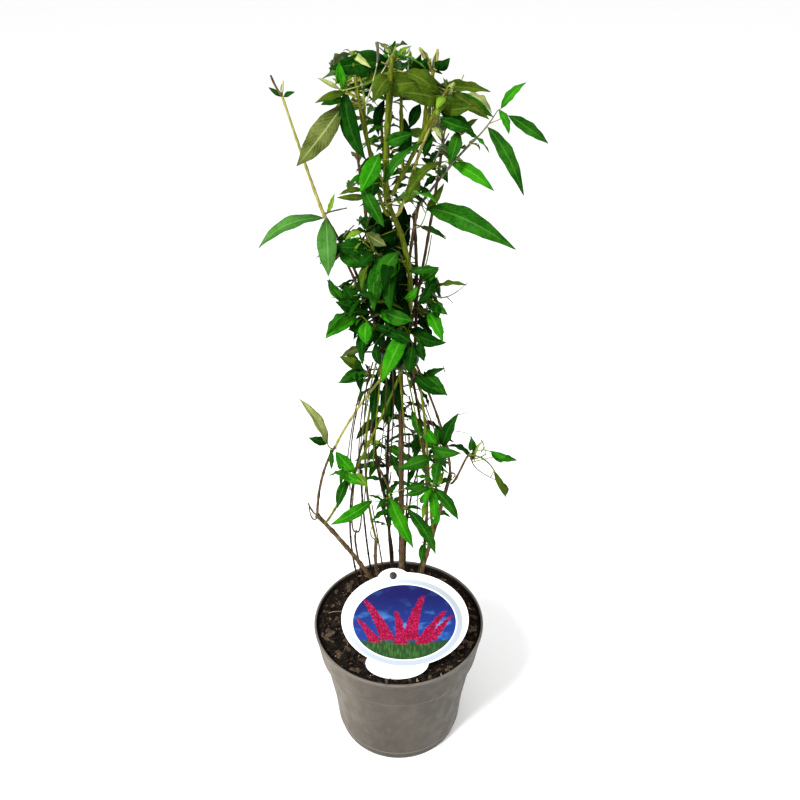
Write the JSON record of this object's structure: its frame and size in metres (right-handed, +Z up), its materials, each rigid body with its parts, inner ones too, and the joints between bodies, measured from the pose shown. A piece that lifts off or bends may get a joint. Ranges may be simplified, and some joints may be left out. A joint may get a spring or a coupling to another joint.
{
  "type": "butterfly bush in a pot",
  "caption": "Young leafy butterfly bush with several tied stems, standing in a round tapered nursery pot with compost and a plain oval plant card.",
  "frame": {"origin": "middle of the flat underside of the pot, on the surface that it stands on", "axes": "+Z up along the plant, -Y towards the front with the plant card, +X to the right seen from the front"},
  "size_m": [0.2323, 0.1937, 0.7527],
  "materials": {
    "pot plastic": "satin moulded plastic, warm taupe grey",
    "compost": "dark moist peat and bark compost",
    "tie": "dull dark grey-green soft tie",
    "card": "smooth white coated plant card",
    "peg": "black plastic",
    "old wood": "brown fibrous bark",
    "young wood": "yellow-olive young bark",
    "leaf": "soft matt green leaf, paler and felted underneath"
  },
  "bodies": {
    "root": {"pot": "pot plastic", "compost": "compost", "tie": "tie", "card": "card", "peg": "peg", "main_stem": "old wood", "low_left_stem": "old wood", "low_left_rise": "old wood", "low_left_shoot": "young wood", "low_left_link": "old wood", "upright_left_stem": "old wood", "inner_left_rise": "old wood", "main_left_fork": "old wood", "low_right_stem": "old wood", "low_right_rise": "old wood", "low_right_arm": "old wood", "inner_right_rise": "old wood", "back_right_stem": "old wood", "back_left_stem": "old wood", "centre_leader": "young wood", "right_leader": "young wood", "left_bough": "young wood", "back_left_bough": "young wood", "back_right_bough": "young wood", "crown_bough": "young wood", "crown_left_bough": "young wood", "crown_right_bough": "young wood", "thin_right_bough": "young wood", "crown_back_bough": "young wood", "crown_left": "leaf", "crown_top_left": "leaf", "crown_top": "leaf", "crown_right_top": "leaf", "crown_top_right": "leaf", "crown_right_tip": "leaf", "crown_right_inner": "leaf", "crown_right_low": "leaf", "crown_front": "leaf", "crown_back": "leaf", "crown_back_left": "leaf", "crown_back_right": "leaf", "upper_front": "leaf", "upper_right": "leaf", "upper_left": "leaf", "upper_back_left": "leaf", "upper_back_right": "leaf", "mid_front": "leaf", "mid_left": "leaf", "mid_right": "leaf", "mid_back": "leaf", "low_left": "leaf", "low_left_inner": "leaf", "low_centre": "leaf", "low_right_inner": "leaf", "low_right": "leaf", "right_sprig": "leaf", "low_back": "leaf", "low_back_right": "leaf"}
  },
  "joints": []
}
